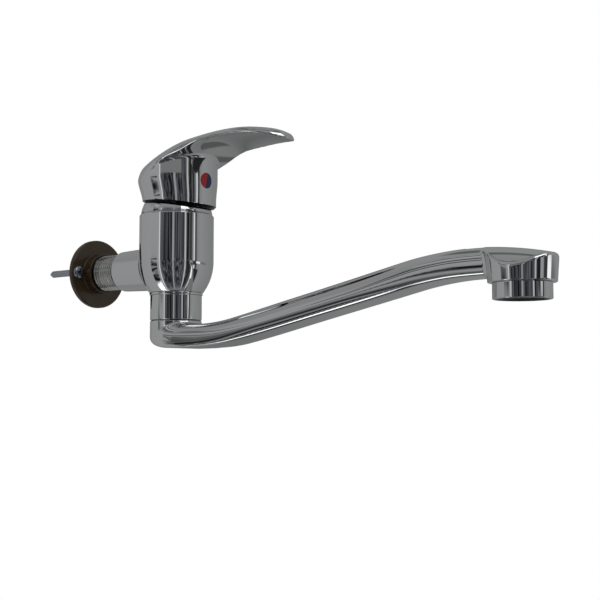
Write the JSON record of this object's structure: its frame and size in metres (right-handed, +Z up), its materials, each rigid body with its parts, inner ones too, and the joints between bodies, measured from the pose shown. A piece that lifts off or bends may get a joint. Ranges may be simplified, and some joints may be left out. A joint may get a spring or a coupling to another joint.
{
  "type": "wall-mounted tap",
  "caption": "Chromed single-lever wall tap on a threaded inlet with a round flange, and a long low swivel spout with an aerator.",
  "frame": {"origin": "on the inlet axis in the wall plane, the flange's back face", "axes": "+X away from the wall along the inlet, +Z up, +Y to the right of someone facing the tap"},
  "size_m": [0.32, 0.047, 0.1179],
  "materials": {
    "chrome": "bright plated",
    "nickel_plate": "satin plated",
    "bronzed_iron": "dark brown, glossy",
    "zinc_plate": "zinc plated",
    "steel": "bright",
    "brass": "machined",
    "disc_ceramic": "lapped",
    "white_plastic": "moulded",
    "grey_plastic": "moulded",
    "red_plastic": "glossy",
    "blue_plastic": "glossy",
    "black_rubber": "matt",
    "fibre": "pressed fibre"
  },
  "bodies": {
    "tap": {"wall_flange": "bronzed_iron", "flange_screws": "zinc_plate", "inlet_nipple": "nickel_plate", "inlet_seal": "fibre", "tap_body": "chrome", "cartridge_base": "white_plastic", "base_seals": "black_rubber", "fixed_disc": "disc_ceramic", "cartridge_housing": "white_plastic", "cartridge_nut": "brass", "dome_cover": "chrome", "neck_ring": "chrome", "collar_nut": "chrome", "slip_washer": "white_plastic"},
    "carrier": {"spindle_carrier": "grey_plastic", "pivot_pin": "steel"},
    "mixing_disc": {"moving_disc": "disc_ceramic", "disc_driver": "grey_plastic"},
    "lever": {"spindle": "steel", "handle": "chrome", "handle_screw": "steel", "hot_mark": "red_plastic", "cold_mark": "blue_plastic"},
    "spout": {"spout": "chrome", "spout_spigot": "brass", "spout_o_rings": "black_rubber", "split_ring": "white_plastic", "aerator_housing": "chrome", "aerator_insert": "grey_plastic", "aerator_screen": "steel", "aerator_seal": "black_rubber"}
  },
  "joints": [
    {"name": "temperature", "type": "hinge", "parent": "tap", "child": "carrier", "pos_m": [0.069, 0, 0.027], "axis": [0, 0, 1], "range_deg": [-45, 45]},
    {"name": "lift", "type": "hinge", "parent": "carrier", "child": "lever", "pos_m": [0.069, 0, 0.027], "axis": [0, -1, 0], "range_deg": [0, 25]},
    {"name": "disc_slide", "type": "slide", "parent": "carrier", "child": "mixing_disc", "axis": [1, 0, 0], "range_m": [0, 0.0033]},
    {"name": "swivel", "type": "hinge", "parent": "tap", "child": "spout", "pos_m": [0.069, 0, -0.03], "axis": [0, 0, 1], "range_deg": [-90, 90]}
  ],
  "couplings": [
    {"joint": "disc_slide", "follows": "lift", "m_per_rad": 0.0074}
  ]
}
